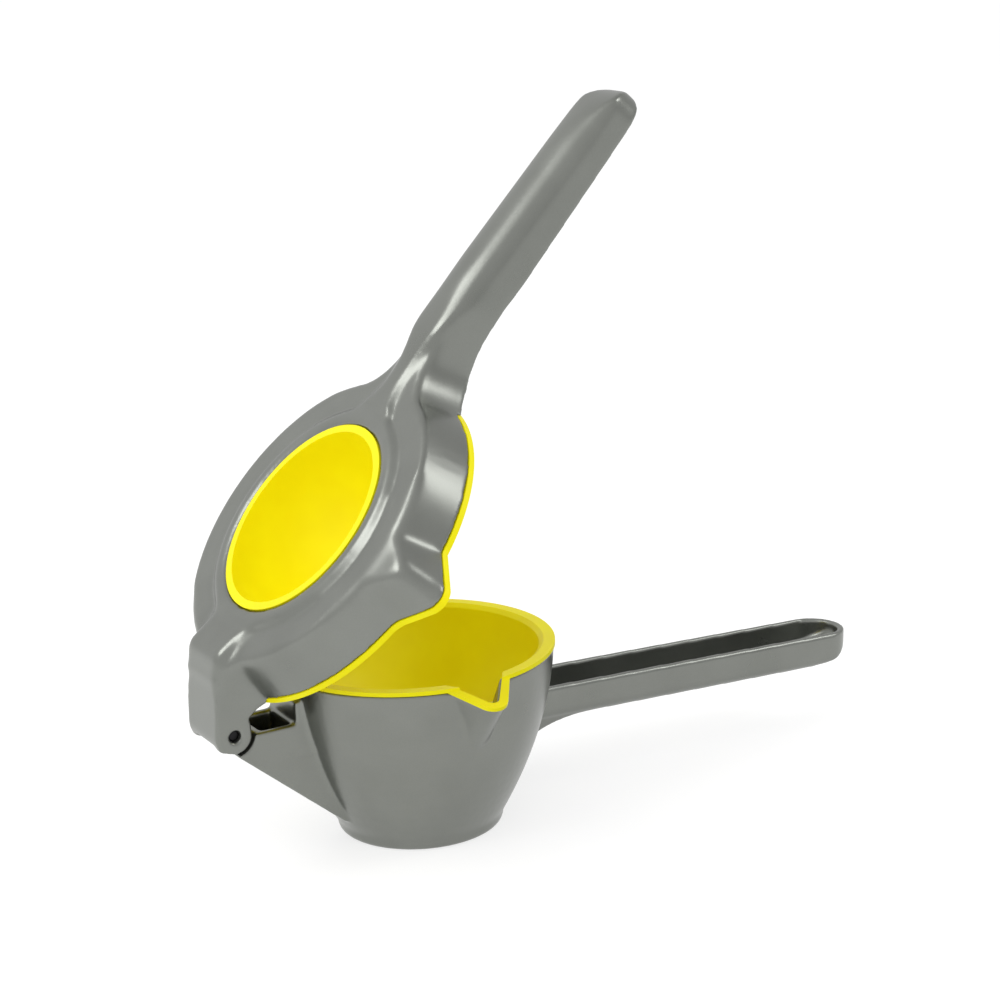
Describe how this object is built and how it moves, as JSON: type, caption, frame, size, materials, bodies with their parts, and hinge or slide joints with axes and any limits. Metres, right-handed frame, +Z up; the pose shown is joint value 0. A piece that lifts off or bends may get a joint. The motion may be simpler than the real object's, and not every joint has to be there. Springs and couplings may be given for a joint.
{
  "type": "citrus press",
  "caption": "Hinged hand citrus press with a pouring cup and lift-out strainer below, and a press head with a dome and a long handle above.",
  "frame": {"origin": "centre of the cup's flat base, at table height", "axes": "+Z up; +X from the hinge towards both handles; -Y towards the pouring spout"},
  "size_m": [0.2636, 0.1338, 0.2474],
  "materials": {
    "cast_body": "cast, with a smooth silver-grey metallic coating",
    "yellow_plastic": "glossy, moulded",
    "steel_pin": "turned and blackened"
  },
  "bodies": {
    "cup": {"cup_casting": "cast_body", "strainer_bowl": "yellow_plastic"},
    "arm": {"press_arm": "cast_body", "press_dome": "yellow_plastic", "hinge_pin": "steel_pin"}
  },
  "joints": [
    {"name": "arm_hinge", "type": "hinge", "parent": "cup", "child": "arm", "pos_m": [-0.073, 0, 0.0511], "axis": [0, -1, 0], "range_deg": [-47.5, 38.5]}
  ]
}
